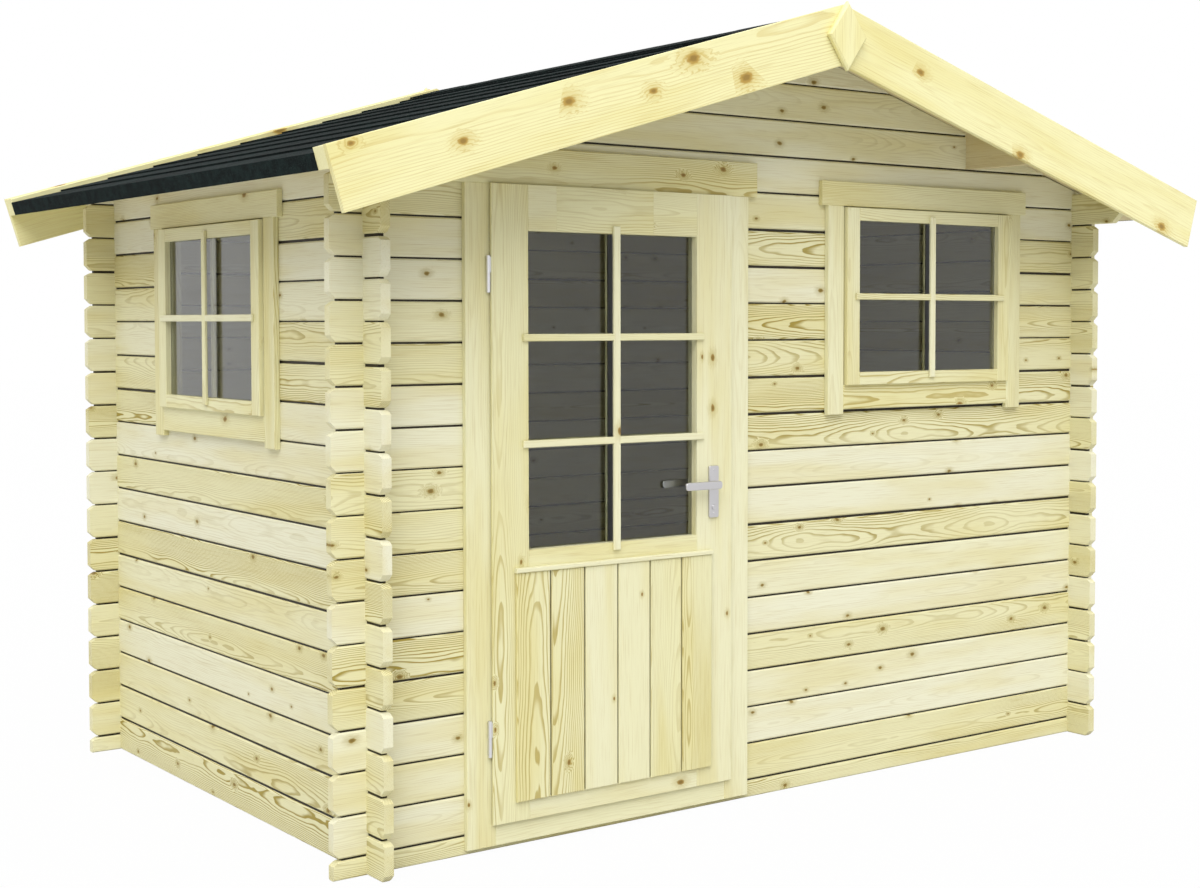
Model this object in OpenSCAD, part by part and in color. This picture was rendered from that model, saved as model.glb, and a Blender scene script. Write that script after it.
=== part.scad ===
// Garden house of interlocking logs: one room, a shingled gable roof, a glazed door and two fixed windows.
// Millimetres. +X runs to the right of the front wall, +Y from the front wall to the back wall, +Z up.
// The origin is at ground level, midway between the four walls.

/* [Walls] */
// Width between the outer faces of the side walls
house_w = 2800; // [2600:10:3400]
// Depth between the outer faces of the front and back walls
house_d = 1800; // [1650:10:2400]
// Height of one log
log_h = 112; // [108:1:118]
// Thickness of a log
log_t = 28; // [24:1:34]
// How far a log runs on past the wall that it crosses
log_end = 96; // [70:1:120]
// Corner cut off the end of each log, at 45 degrees
end_cut = 18; // [10:1:30]
// Full logs from the ground to the eaves
courses = 17; // [16:1:18]
// Height and depth of the groove at the joint between two logs
joint_gap = 5; // [3:0.5:8]

/* [Roof] */
// Slope of the roof, in degrees
roof_pitch = 16.8; // [15:0.1:18]
// Height of the boarded roof's underside above the top course, at the outer face of a side wall
eaves_rise = 4; // [2:1:20]
// How far the roof runs out past a side wall, measured level
eaves_reach = 255; // [200:1:300]
// How far the bargeboard's face stands out from the front or back wall
gable_reach = 312; // [250:1:350]
// How far the eaves logs run out past the front or back wall before their ends are cut away
eave_log_reach = 175; // [110:1:200]
// Thickness of the roof boards
deck_t = 18; // [16:1:22]
// Thickness of the shingles
shingle_t = 8; // [5:1:10]
// Thickness of the battens under the roof boards at the eaves
batten_t = 18; // [14:1:30]
// Width of the battens along the roof's edges
batten_w = 55; // [40:1:70]
// How far the edge battens stand out above the shingles
edge_proud = 12; // [6:1:20]
// Width of a bargeboard
barge_w = 168; // [140:1:190]
// Thickness of a bargeboard
barge_t = 18; // [16:1:24]
// Width of a purlin
purlin_w = 44; // [36:1:60]
// Distance of a side purlin's near face from the ridge
purlin_x = 838; // [700:1:950]
// Height of the ridge purlin
ridge_purlin_h = 74; // [60:1:90]
// Width of the diamond at the ridge
finial_w = 145; // [100:1:160]
// Height of the diamond at the ridge
finial_h = 201; // [160:1:230]
// Thickness of the diamond
finial_t = 20; // [14:1:26]

/* [Door] */
// Sideways place of the door's middle
door_x = -610; // [-700:5:-450]
// Width of the door leaf
leaf_w = 838; // [760:1:900]
// Distance from the head of the door opening down to the top of the leaf
leaf_drop = 20; // [13:1:73]
// Height of the leaf's lower edge above the ground
leaf_z = 75; // [70:1:90]
// Thickness of the door leaf
leaf_t = 44; // [36:1:50]
// Thickness of the edge of the leaf that laps over the frame
lap_t = 8; // [6:1:12]
// How far that edge laps past the core of the leaf
lap = 20; // [14:1:26]
// Clearance round the leaf
door_gap = 5; // [5:0.5:8]
// Width of the stile on the hinge side
hinge_stile = 118; // [100:1:140]
// Width of the stile on the lock side
lock_stile = 132; // [100:1:150]
// Height of the glass above the leaf's lower edge
pane_z = 749; // [700:1:800]
// Height of the rail over the door's glass
top_rail = 126; // [104:1:304]
// Margin beside the boarded panel on the hinge side
panel_left = 68; // [60:1:90]
// Margin beside the boarded panel on the lock side
panel_right = 81; // [70:1:100]
// Margin below the boarded panel
panel_z = 55; // [45:1:70]
// Height of the boarded panel
panel_h = 635; // [550:1:660]
// Thickness of the boarded panel
panel_t = 12; // [10:1:16]

/* [Windows] */
// Sideways place of the front window's middle
front_win_x = 648; // [560:5:740]
// Height of the front window's sash above the foot of its opening
front_win_rise = 78; // [64:1:84]
// Place of the side window's middle, along the left wall
side_win_y = 40; // [-60:5:140]
// Height of the side window's sash above the foot of its opening
side_win_rise = 65; // [55:1:75]
// Width of a sash
sash_w = 740; // [640:1:760]
// Height of a window opening over that of its sash
sash_room = 114; // [106:1:132]
// Width of a sash's upright members
sash_stile = 53; // [40:1:60]
// Height of a sash's cross members
sash_rail = 40; // [34:1:50]
// Thickness of a sash, which stands on the outer face of the wall
sash_t = 31; // [26:1:36]
// Thickness of the glass
glass_t = 4; // [3:1:6]

/* [Trim and frames] */
// Thickness of the trim boards round the door and windows
trim_t = 18; // [14:1:22]
// Width of an upright trim board at a window
win_trim_w = 66; // [50:1:80]
// Width of the trim board over a window
win_head_h = 76; // [60:1:90]
// How far the trim board over a window runs past its uprights
win_head_lug = 26; // [15:1:40]
// Width of the trim that shows beside the door leaf
door_trim_w = 75; // [60:1:90]
// Width of the trim board over the door
door_head_h = 102; // [80:1:110]
// How far the trim board over the door runs past its uprights
door_head_lug = 35; // [15:1:40]
// How far the door and window frames stand into the room
frame_in = 12; // [8:1:20]

/* [Floor] */
// Height of the floor bearers
bearer_h = 45; // [40:1:60]
// Thickness of the floor boards
floor_t = 18; // [16:1:22]

/* [Fittings] */
// Radius of a hinge's barrel
barrel_r = 6; // [5:0.5:8]
// Height of a hinge
hinge_h = 100; // [80:1:120]
// Radius of a hinge's pin
pin_r = 3; // [2:0.5:4]
// Height of the lever's axis above the leaf's lower edge
lever_z = 897; // [850:1:950]
// Length of the lever from its axis
lever_l = 129; // [110:1:150]
// Width of the lock plate
plate_w = 36; // [28:1:42]
// Height of the lock plate
plate_h = 154; // [130:1:240]

/* [Hidden] */

spruce = [0.87, 0.82, 0.58];
board_yellow = [0.93, 0.86, 0.56];
shingle_dark = [0.08, 0.13, 0.13];
pane_grey = [0.32, 0.31, 0.31, 0.6];
silver = [0.78, 0.78, 0.8];
// Sides of the round parts
round_fn = 48;
// How far a cutter runs past what it cuts
past = 1;

// Walls. The front and back walls start with a half log, so that they cross the side walls at the corners.
half_w = house_w / 2;
half_d = house_d / 2;
half_log = log_h / 2;
far = half_w + half_d + log_end;
sill_z = half_log;
side_top_z = courses * log_h;
head_z = side_top_z - half_log;
left_head_z = side_top_z - log_h;
win_open_h = 6 * log_h;
front_win_foot = head_z - win_open_h;
left_win_foot = left_head_z - win_open_h;
front_win_z = front_win_foot + front_win_rise;
side_win_z = left_win_foot + side_win_rise;

// Roof. Every layer is placed by its depth below the face of the shingles, square to the slope.
slope = tan(roof_pitch);
deck_z = side_top_z + eaves_rise + half_w * slope;
deck_depth = shingle_t;
under_depth = shingle_t + deck_t;
edge_depth = under_depth + batten_t;
face_z = deck_z + under_depth / cos(roof_pitch);
eave_x = half_w + eaves_reach;
gable_y = half_d + gable_reach - barge_t;
deck_y = gable_y - batten_w;
wall_top = deck_z + log_h;
purlin_z = side_top_z + half_log;
barge_proud = edge_proud + 3;
cap_w = 120;
cap_t = 4;
strip_t = 3;
finial_rise = 7;
// Play between roof layers that lie on each other
bed = 0.02;

// Door. Its layers are placed outwards from the outer face of the front wall.
face_y = -half_d - trim_t - door_gap - lap_t;
leaf_back_y = face_y + leaf_t;
leaf_x0 = door_x - leaf_w / 2;
leaf_x1 = door_x + leaf_w / 2;
leaf_top = head_z - leaf_drop;
jamb_x0 = leaf_x0 + lap - door_gap;
jamb_x1 = leaf_x1 - lap + door_gap;
jamb_foot = leaf_z + lap - door_gap;
jamb_top = leaf_top - lap + door_gap;
trim_lap = 30;
trim_foot = 15;
door_trim_x0 = leaf_x0 - door_trim_w;
door_trim_x1 = leaf_x1 + door_trim_w;
door_open_x0 = door_trim_x0 + trim_lap;
door_open_x1 = door_trim_x1 - trim_lap;
pane_x0 = leaf_x0 + hinge_stile;
pane_x1 = leaf_x1 - lock_stile;
pane_foot = leaf_z + pane_z;
pane_h = leaf_top - top_rail - pane_foot;
pane_back = 26;
panel_x0 = leaf_x0 + panel_left;
panel_x1 = leaf_x1 - panel_right;
panel_foot = leaf_z + panel_z;
panel_top = panel_foot + panel_h;
ledge_h = 13;
ledge_t = 18;

// Windows
sash_h = win_open_h - sash_room;
sash_lap = 18;
frame_side = 48;
win_open_w = sash_w - 2 * sash_lap + 2 * frame_side;
win_sill_h = 75;
trim_gap = 4;
trim_drop = 17;
pane_set = 18;

// Fittings
hinge_x = leaf_x0 - barrel_r - 1;
hinge_y = -half_d - trim_t - barrel_r - 1;
hinge_inset = 189;
top_hinge_inset = 296;
hinge_feet = [leaf_z + hinge_inset, leaf_top - top_hinge_inset];
pin_clear = 0.05;
knuckle_gap = 0.5;
hinge_tab_t = 4;
lever_axis_z = leaf_z + lever_z;
backset = 73;
plate_x = leaf_x1 - backset;
plate_t = 8;
plate_above = 55;
spindle_r = 5;
spindle_room = 3;
neck_r = 7;
neck_l = 22;
arm_h = 24;
arm_t = 10;
arm_tail = 7;

// Floor
room_w = house_w - 2 * log_t;
room_d = house_d - 2 * log_t;
bearer_w = 58;
bearer_count = 4;
floor_play = 15;

// ---- Shapes that several pieces share

module block(x0, x1, y0, y1, z0, z1) {
    translate([x0, y0, z0]) cube([x1 - x0, y1 - y0, z1 - z0]);
}

// A flat drawing of width against height, stood up between two places along the house
module standing(y0, y1) {
    translate([0, y1, 0]) rotate([90, 0, 0]) linear_extrude(y1 - y0) children();
}

// A frame standing up, from the corners of its outside and of its hole
module ring(outside, hole, y0, y1) {
    standing(y0, y1) difference() {
        translate([outside[0], outside[2]]) square([outside[1] - outside[0], outside[3] - outside[2]]);
        translate([hole[0], hole[2]]) square([hole[1] - hole[0], hole[3] - hole[2]]);
    }
}

module on_side(side) {
    if (side < 0) mirror([1, 0, 0]) children();
    else children();
}

// A rod or a bore along Y
module rod(x, y, z, radius, length) {
    translate([x, y, z]) rotate([-90, 0, 0]) cylinder(r = radius, h = length, $fn = round_fn);
}

// ---- Log walls

// A wall's outline: its log ends have their corners cut off at every joint, and where the other wall crosses
// it, half of each log is cut away
module log_wall_outline(half, first_joint) {
    reach = half + log_end;
    joints = [first_joint - log_h:log_h:wall_top];
    difference() {
        translate([-reach, 0]) square([2 * reach, wall_top]);
        for (side = [-1, 1], z = joints) translate([side * reach, z]) rotate(45)
            square(end_cut * sqrt(2), center = true);
        for (side = [-1, 1], z = joints) translate([side * (half - log_t / 2), z])
            square([log_t, half_log], center = true);
    }
}

// The part of a wall between two places along it and two heights, with its outer face at y = 0
module log_wall(half, first_joint, from, to, foot, head) {
    cutter = joint_gap / sqrt(2);
    difference() {
        standing(0, log_t) intersection() {
            log_wall_outline(half, first_joint);
            translate([from, foot]) square([to - from, head - foot]);
        }
        for (y = [0, log_t], z = [first_joint:log_h:head]) translate([0, y, z]) rotate([45, 0, 0])
            cube([2 * far, cutter, cutter], center = true);
    }
}

module front_piece(from, to, foot, head) {
    translate([0, -half_d, 0]) log_wall(half_w, half_log, from, to, foot, head);
}

// A piece of the left wall, whose width is counted towards the back
module left_piece(from, to, foot, head) {
    translate([-half_w, 0, 0]) rotate(-90) mirror([1, 0, 0]) log_wall(half_d, log_h, from, to, foot, head);
}

// All that lies above the underside of the roof boards
module above_roof() {
    reach = 2 * half_w;
    low = deck_z - reach * slope;
    high = 2 * deck_z;
    standing(-far, far) polygon([[0, deck_z], [reach, low], [reach, high], [-reach, high], [-reach, low]]);
}

// The three purlins, with their tops still square
module purlin_blanks(reach) {
    for (x = [-purlin_x - purlin_w, purlin_x]) block(x, x + purlin_w, -reach, reach, purlin_z, deck_z);
    block(-purlin_w / 2, purlin_w / 2, -reach, reach, deck_z - ridge_purlin_h, deck_z + past);
}

// The top of the left wall: its eaves log runs out under the roof, with its ends cut away at 45 degrees
module left_wall_top() {
    end_foot = half_d + eave_log_reach;
    end_z = left_head_z + deck_y - end_foot;
    left_piece(-far, far, left_head_z, side_top_z);
    for (side = [-1, 1]) translate([-half_w, 0, 0]) rotate([90, 0, 90]) linear_extrude(log_t) on_side(side)
        polygon([[half_d, left_head_z], [end_foot, left_head_z], [deck_y, end_z], [deck_y, side_top_z],
                 [half_d, side_top_z]]);
}

module front_sill_log() {
    color(spruce) front_piece(-far, far, 0, sill_z);
}

module front_wall_left() {
    color(spruce) front_piece(-far, door_open_x0, sill_z, head_z);
}

module front_wall_lower() {
    color(spruce) front_piece(door_open_x1, far, sill_z, front_win_foot);
}

module front_wall_pier() {
    color(spruce) front_piece(door_open_x1, front_win_x - win_open_w / 2, front_win_foot, head_z);
}

module front_wall_right() {
    color(spruce) front_piece(front_win_x + win_open_w / 2, far, front_win_foot, head_z);
}

module front_gable() {
    color(spruce) difference() {
        front_piece(-far, far, head_z, wall_top);
        above_roof();
        purlin_blanks(far);
    }
}

module back_wall() {
    color(spruce) difference() {
        rotate(180) front_piece(-far, far, 0, wall_top);
        above_roof();
        purlin_blanks(far);
    }
}

module left_wall_lower() {
    color(spruce) left_piece(-far, far, 0, left_win_foot);
}

module left_wall_front() {
    color(spruce) left_piece(-far, side_win_y - win_open_w / 2, left_win_foot, left_head_z);
}

module left_wall_back() {
    color(spruce) left_piece(side_win_y + win_open_w / 2, far, left_win_foot, left_head_z);
}

module left_wall_upper() {
    color(spruce) union() {
        left_wall_top();
    }
}

module right_wall() {
    color(spruce) on_side(-1) union() {
        left_piece(-far, far, 0, left_head_z);
        left_wall_top();
    }
}

// ---- Floor

module floor_bearers() {
    run = room_w - 2 * floor_play - bearer_w;
    color(spruce) for (i = [0:bearer_count - 1])
        translate([i * run / (bearer_count - 1) - run / 2, 0, bearer_h / 2])
            cube([bearer_w, room_d - 2 * floor_play, bearer_h], center = true);
}

module floor_boards() {
    color(spruce) translate([0, 0, bearer_h + floor_t / 2])
        cube([room_w - 2 * floor_play, room_d - 2 * floor_play, floor_t], center = true);
}

// ---- Roof

// A layer of the right side of the roof, from the ridge or part way down to the eaves, whose ends are square
// to the slope
module slope_band(depth, thick, to = eave_x) {
    fall = [sin(roof_pitch), cos(roof_pitch)];
    end = [to, face_z - to * slope];
    ridge = face_z - depth / cos(roof_pitch);
    foot = ridge - thick / cos(roof_pitch);
    polygon([[0, ridge], end - depth * fall, end - (depth + thick) * fall, [0, foot]]);
}

module purlins() {
    color(spruce) difference() {
        purlin_blanks(gable_y);
        above_roof();
        edge_battens(-1);
        edge_battens(1);
    }
}

module edge_battens(side) {
    on_side(side) for (y = [-gable_y, deck_y]) standing(y, y + batten_w)
        slope_band(-edge_proud, edge_proud + edge_depth);
}

module roof_deck(side) {
    on_side(side) standing(-deck_y, deck_y) slope_band(deck_depth, deck_t);
}

module shingles(side) {
    on_side(side) standing(-deck_y, deck_y) slope_band(0, shingle_t);
}

module bargeboard(side, y) {
    on_side(side) standing(y, y + barge_t) slope_band(-barge_proud, barge_w);
}

module roof_deck_left() {
    color(spruce) roof_deck(-1);
}

module roof_deck_right() {
    color(spruce) roof_deck(1);
}

module shingles_left() {
    color(shingle_dark) shingles(-1);
}

module shingles_right() {
    color(shingle_dark) shingles(1);
}

// A strip of shingles bent over the ridge
module ridge_cap() {
    color(shingle_dark) standing(-deck_y, deck_y) union() {
        for (side = [-1, 1]) on_side(side) slope_band(-cap_t, cap_t - bed, cap_w);
    }
}

// The batten under the lower edge of the roof boards, and the dark strip that wraps it and the boards
module eave_strips() {
    color(shingle_dark) for (side = [-1, 1]) on_side(side) standing(-deck_y, deck_y)
        translate([eave_x, face_z - eave_x * slope]) rotate(-roof_pitch) translate([bed, -bed]) union() {
            translate([0, -edge_depth]) square([strip_t, edge_depth]);
            translate([-batten_w, -edge_depth]) square([batten_w, batten_t]);
        }
}

module edge_battens_left() {
    color(board_yellow) edge_battens(-1);
}

module edge_battens_right() {
    color(board_yellow) edge_battens(1);
}

module bargeboard_front_left() {
    color(board_yellow) bargeboard(-1, -gable_y - barge_t);
}

module bargeboard_front_right() {
    color(board_yellow) bargeboard(1, -gable_y - barge_t);
}

module bargeboard_back_left() {
    color(board_yellow) bargeboard(-1, gable_y);
}

module bargeboard_back_right() {
    color(board_yellow) bargeboard(1, gable_y);
}

module finials() {
    mid_z = face_z + barge_proud / cos(roof_pitch) + finial_rise - finial_h / 2;
    color(board_yellow) for (y = [-gable_y - barge_t - finial_t, gable_y + barge_t])
        standing(y, y + finial_t) translate([0, mid_z])
            polygon([[0, finial_h / 2], [finial_w / 2, 0], [0, -finial_h / 2], [-finial_w / 2, 0]]);
}

// ---- Door

jamb_hole = [jamb_x0, jamb_x1, jamb_foot, jamb_top];

module door_frame() {
    outside = [door_open_x0, door_open_x1, sill_z, head_z];
    color(spruce) ring(outside, jamb_hole, -half_d, -half_d + log_t + frame_in);
}

module door_casing() {
    head_x0 = door_trim_x0 - door_head_lug;
    head_x1 = door_trim_x1 + door_head_lug;
    color(spruce) union() {
        ring([door_trim_x0, door_trim_x1, trim_foot, leaf_top], jamb_hole, -half_d - trim_t, -half_d);
        block(head_x0, head_x1, -half_d - trim_t, -half_d, leaf_top, leaf_top + door_head_h);
    }
}

module door_leaf() {
    color(spruce) difference() {
        union() {
            block(leaf_x0, leaf_x1, face_y, face_y + lap_t, leaf_z, leaf_top);
            block(leaf_x0 + lap, leaf_x1 - lap, face_y + lap_t, leaf_back_y, leaf_z + lap, leaf_top - lap);
        }
        block(pane_x0, pane_x1, face_y - past, leaf_back_y + past, pane_foot, pane_foot + pane_h);
        rod(plate_x, face_y - past, lever_axis_z, spindle_r + spindle_room, leaf_t + 2 * past);
    }
}

// Tongued boards planted on the lower half of the leaf, under a ledge
module door_panel() {
    color(spruce) union() {
        block(panel_x0, panel_x1, face_y - panel_t, face_y, panel_foot, panel_top);
        block(panel_x0, panel_x1, face_y - ledge_t, face_y, panel_top, panel_top + ledge_h);
    }
}

module door_glass() {
    color(pane_grey) block(pane_x0, pane_x1, face_y + pane_back, face_y + pane_back + glass_t,
                           pane_foot, pane_foot + pane_h);
}

module lock_plates() {
    top = lever_axis_z + plate_above;
    color(silver) for (y = [face_y - plate_t, leaf_back_y]) difference() {
        block(plate_x - plate_w / 2, plate_x + plate_w / 2, y, y + plate_t, top - plate_h, top);
        rod(plate_x, y - past, lever_axis_z, spindle_r + pin_clear, plate_t + 2 * past);
    }
}

// Both levers and the spindle between them
module lever_handle() {
    stand = plate_t + knuckle_gap;
    out_y = face_y - stand - neck_l;
    in_y = leaf_back_y + stand;
    color(silver) union() {
        rod(plate_x, out_y, lever_axis_z, spindle_r, in_y + neck_l - out_y);
        for (y = [out_y, in_y]) rod(plate_x, y, lever_axis_z, neck_r, neck_l);
        for (y = [out_y - arm_t, in_y + neck_l]) block(plate_x - lever_l, plate_x + arm_tail, y, y + arm_t,
                                                       lever_axis_z - arm_h / 2, lever_axis_z + arm_h / 2);
    }
}

// The lower half of each hinge, with the pin, fixed to the casing
module hinge_knuckles_frame() {
    low = (hinge_h - knuckle_gap) / 2;
    color(silver) for (z = hinge_feet) translate([hinge_x, hinge_y, z]) union() {
        cylinder(r = barrel_r, h = low, $fn = round_fn);
        cylinder(r = pin_r, h = hinge_h - 2 * hinge_tab_t, $fn = round_fn);
        translate([-hinge_tab_t, 0, hinge_tab_t])
            cube([2 * hinge_tab_t, barrel_r + 1, low - 2 * hinge_tab_t]);
    }
}

// The upper half of each hinge, bored for the pin and fixed to the edge of the leaf
module hinge_knuckles_door() {
    low = (hinge_h + knuckle_gap) / 2;
    color(silver) for (z = hinge_feet) translate([hinge_x, hinge_y, z]) difference() {
        union() {
            translate([0, 0, low]) cylinder(r = barrel_r, h = hinge_h - low, $fn = round_fn);
            translate([0, -hinge_tab_t, low + hinge_tab_t])
                cube([barrel_r + 1, hinge_tab_t, hinge_h - low - 2 * hinge_tab_t]);
        }
        translate([0, 0, low - past])
            cylinder(r = pin_r + pin_clear, h = hinge_h - low - 2 * hinge_tab_t + 2 * past, $fn = round_fn);
    }
}

// ---- Windows. Each is drawn with its wall's outer face at y = 0 and its middle at x = 0.

module at_front_window() {
    translate([front_win_x, -half_d, 0]) children();
}

module at_left_window() {
    translate([-half_w, side_win_y, 0]) rotate(-90) children();
}

module window_frame(foot, sash_z) {
    hole = [sash_lap - sash_w / 2, sash_w / 2 - sash_lap, sash_z + sash_lap, sash_z + sash_h - sash_lap];
    ring([-win_open_w / 2, win_open_w / 2, foot, foot + win_open_h], hole, 0, log_t + frame_in);
}

module window_casing(sash_z) {
    inner = sash_w / 2 + trim_gap;
    outer = inner + win_trim_w;
    head = outer + win_head_lug;
    top = sash_z + sash_h + trim_gap;
    foot = sash_z - win_sill_h;
    union() {
        for (side = [-1, 1]) on_side(side) block(inner, outer, -trim_t, 0, foot - trim_drop, top);
        block(-head, head, -trim_t, 0, top, top + win_head_h);
        block(-inner, inner, -trim_t, 0, foot, sash_z);
    }
}

module window_sash(sash_z) {
    half = sash_w / 2;
    top = sash_z + sash_h;
    hole = [sash_stile - half, half - sash_stile, sash_z + sash_rail, top - sash_rail];
    ring([-half, half, sash_z, top], hole, -sash_t, 0);
}

module window_glass(sash_z) {
    half = sash_w / 2 - sash_stile;
    front = pane_set - sash_t;
    block(-half, half, front, front + glass_t, sash_z + sash_rail, sash_z + sash_h - sash_rail);
}

module front_window_frame() {
    color(spruce) at_front_window() window_frame(front_win_foot, front_win_z);
}

module front_window_casing() {
    color(spruce) at_front_window() window_casing(front_win_z);
}

module front_window_sash() {
    color(spruce) at_front_window() window_sash(front_win_z);
}

module front_window_glass() {
    color(pane_grey) at_front_window() window_glass(front_win_z);
}

module left_window_frame() {
    color(spruce) at_left_window() window_frame(left_win_foot, side_win_z);
}

module left_window_casing() {
    color(spruce) at_left_window() window_casing(side_win_z);
}

module left_window_sash() {
    color(spruce) at_left_window() window_sash(side_win_z);
}

module left_window_glass() {
    color(pane_grey) at_left_window() window_glass(side_win_z);
}

front_sill_log();
front_wall_left();
front_wall_lower();
front_wall_pier();
front_wall_right();
front_gable();
back_wall();
left_wall_lower();
left_wall_front();
left_wall_back();
left_wall_upper();
right_wall();
floor_bearers();
floor_boards();
purlins();
roof_deck_left();
roof_deck_right();
shingles_left();
shingles_right();
ridge_cap();
eave_strips();
edge_battens_left();
edge_battens_right();
bargeboard_front_left();
bargeboard_front_right();
bargeboard_back_left();
bargeboard_back_right();
finials();
door_frame();
door_casing();
door_leaf();
door_panel();
door_glass();
lock_plates();
lever_handle();
hinge_knuckles_frame();
hinge_knuckles_door();
front_window_frame();
front_window_casing();
front_window_sash();
front_window_glass();
left_window_frame();
left_window_casing();
left_window_sash();
left_window_glass();
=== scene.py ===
import bmesh
import bpy
import math
import random
from mathutils import Matrix, Vector


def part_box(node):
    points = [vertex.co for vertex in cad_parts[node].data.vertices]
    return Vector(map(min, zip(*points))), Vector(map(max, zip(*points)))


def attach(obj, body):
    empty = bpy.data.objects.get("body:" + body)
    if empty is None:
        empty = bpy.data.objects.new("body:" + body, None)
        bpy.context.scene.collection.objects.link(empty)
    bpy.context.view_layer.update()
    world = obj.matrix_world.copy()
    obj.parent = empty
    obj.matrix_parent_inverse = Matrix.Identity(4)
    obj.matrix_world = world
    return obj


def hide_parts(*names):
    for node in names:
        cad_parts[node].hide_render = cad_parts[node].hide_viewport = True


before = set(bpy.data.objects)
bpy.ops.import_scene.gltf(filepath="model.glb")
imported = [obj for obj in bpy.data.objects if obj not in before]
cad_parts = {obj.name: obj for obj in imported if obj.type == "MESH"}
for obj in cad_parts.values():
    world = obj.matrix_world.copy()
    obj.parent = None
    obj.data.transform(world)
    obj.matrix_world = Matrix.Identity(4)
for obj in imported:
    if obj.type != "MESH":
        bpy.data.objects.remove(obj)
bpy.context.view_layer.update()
scene = bpy.context.scene

# ---- Studio
# A level white floor under an even white sky, with one broad soft lamp over the left front corner.
# The eye stands a little above the door handle, left of the house.
eye = bpy.data.objects.new("eye", bpy.data.cameras.new("eye"))
eye.location = (-3.6193, -5.1239, 1.4519)
eye.rotation_euler = (math.radians(87.672), 0, math.radians(-37.102))
eye.data.sensor_width = 36
eye.data.lens = 54.40
eye.data.shift_x = -0.0526
eye.data.shift_y = -0.0401
eye.data.clip_end = 100
scene.collection.objects.link(eye)
scene.camera = eye
scene.view_settings.view_transform = "Standard"


def link(tree, source, target):
    tree.links.new(source, target)


def seen_directly(tree):
    """1 for rays from the eye and those that gloss and glass send on."""
    path = tree.nodes.new("ShaderNodeLightPath")
    found = path.outputs["Is Camera Ray"]
    for name in ("Is Glossy Ray", "Is Transmission Ray"):
        most = tree.nodes.new("ShaderNodeMath")
        most.operation = "MAXIMUM"
        link(tree, found, most.inputs[0])
        link(tree, path.outputs[name], most.inputs[1])
        found = most.outputs[0]
    return found


sky = bpy.data.worlds.new("sky")
scene.world = sky
sky.use_nodes = True
sky_tree = sky.node_tree
sky_light = sky_tree.nodes["Background"]
sky_seen = sky_tree.nodes.new("ShaderNodeBackground")
sky_mix = sky_tree.nodes.new("ShaderNodeMixShader")
for shade in (sky_light, sky_seen):
    shade.inputs["Color"].default_value = (1, 1, 1, 1)
aim = sky_tree.nodes.new("ShaderNodeTexCoord")
aim_axes = sky_tree.nodes.new("ShaderNodeSeparateXYZ")
overhead = sky_tree.nodes.new("ShaderNodeMapRange")
for i, value in ((1, 0.0), (2, 0.9), (3, 0.15), (4, 1.3)):
    overhead.inputs[i].default_value = value
link(sky_tree, aim.outputs["Generated"], aim_axes.inputs[0])
link(sky_tree, aim_axes.outputs[2], overhead.inputs[0])
link(sky_tree, overhead.outputs[0], sky_light.inputs["Strength"])
link(sky_tree, seen_directly(sky_tree), sky_mix.inputs[0])
link(sky_tree, sky_light.outputs[0], sky_mix.inputs[1])
link(sky_tree, sky_seen.outputs[0], sky_mix.inputs[2])
link(sky_tree, sky_mix.outputs[0], sky_tree.nodes["World Output"].inputs["Surface"])

lamp = bpy.data.objects.new("lamp", bpy.data.lights.new("lamp", "SUN"))
lamp.data.energy = 2.1
lamp.data.angle = math.radians(50)
lamp.rotation_euler = Vector((0.55, 0.72, -0.95)).to_track_quat("-Z", "Y").to_euler()
scene.collection.objects.link(lamp)

floor_mesh = bpy.data.meshes.new("ground")
floor_mesh.from_pydata([(-40, -40, 0), (40, -40, 0), (40, 40, 0), (-40, 40, 0)], [], [(0, 1, 2, 3)])
ground = bpy.data.objects.new("ground", floor_mesh)
scene.collection.objects.link(ground)
ground_paint = bpy.data.materials.new("ground_paint")
ground_paint.use_nodes = True
tree = ground_paint.node_tree
matt = tree.nodes["Principled BSDF"]
matt.inputs["Base Color"].default_value = (0.62, 0.62, 0.62, 1)
matt.inputs["Roughness"].default_value = 1
glow = tree.nodes.new("ShaderNodeEmission")
share = tree.nodes.new("ShaderNodeMath")
share.operation = "MULTIPLY"
share.inputs[1].default_value = 0.965
mixed = tree.nodes.new("ShaderNodeMixShader")
link(tree, seen_directly(tree), share.inputs[0])
link(tree, share.outputs[0], mixed.inputs[0])
link(tree, matt.outputs[0], mixed.inputs[1])
link(tree, glow.outputs[0], mixed.inputs[2])
link(tree, mixed.outputs[0], tree.nodes["Material Output"].inputs["Surface"])
floor_mesh.materials.append(ground_paint)

# ---- Front wall
# Planed spruce logs laid on each other, with a chamfer along every level edge and a tongue that closes the
# joint.
# Their ends cross the side walls in halved joints and run on past them, with the corners cut off.
chance = random.Random(7)
log_corner, log_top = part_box("front_sill_log")
reach_x = -log_corner.x
half_d = -log_corner.y
log_t = log_top.y - log_corner.y
half_log = log_top.z
log_h = 2 * half_log
half_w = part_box("right_wall")[1].x
reach_y = half_d + reach_x - half_w
end_cut = 0.018
log_chamfer = 0.0042
joint_gaps = (0.0042, 0.005, 0.0058, 0.0068, 0.008)
tongue_t = 0.018
tongue_inset = 0.008


def new_node(tree, kind, **values):
    """A node with its settings and the fixed values of its inputs, which are named in_0, in_1 and so on."""
    made = tree.nodes.new("ShaderNode" + kind)
    for name, value in values.items():
        if name.startswith("in_"):
            made.inputs[int(name[3:])].default_value = value
        else:
            setattr(made, name, value)
    return made


def sums(tree, operation, a, b=None, c=None):
    """One step of arithmetic on sockets or plain numbers."""
    made = new_node(tree, "Math", operation=operation)
    for i, value in enumerate((a, b, c)):
        if isinstance(value, (int, float)):
            made.inputs[i].default_value = value
        elif value is not None:
            link(tree, value, made.inputs[i])
    return made.outputs[0]


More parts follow.
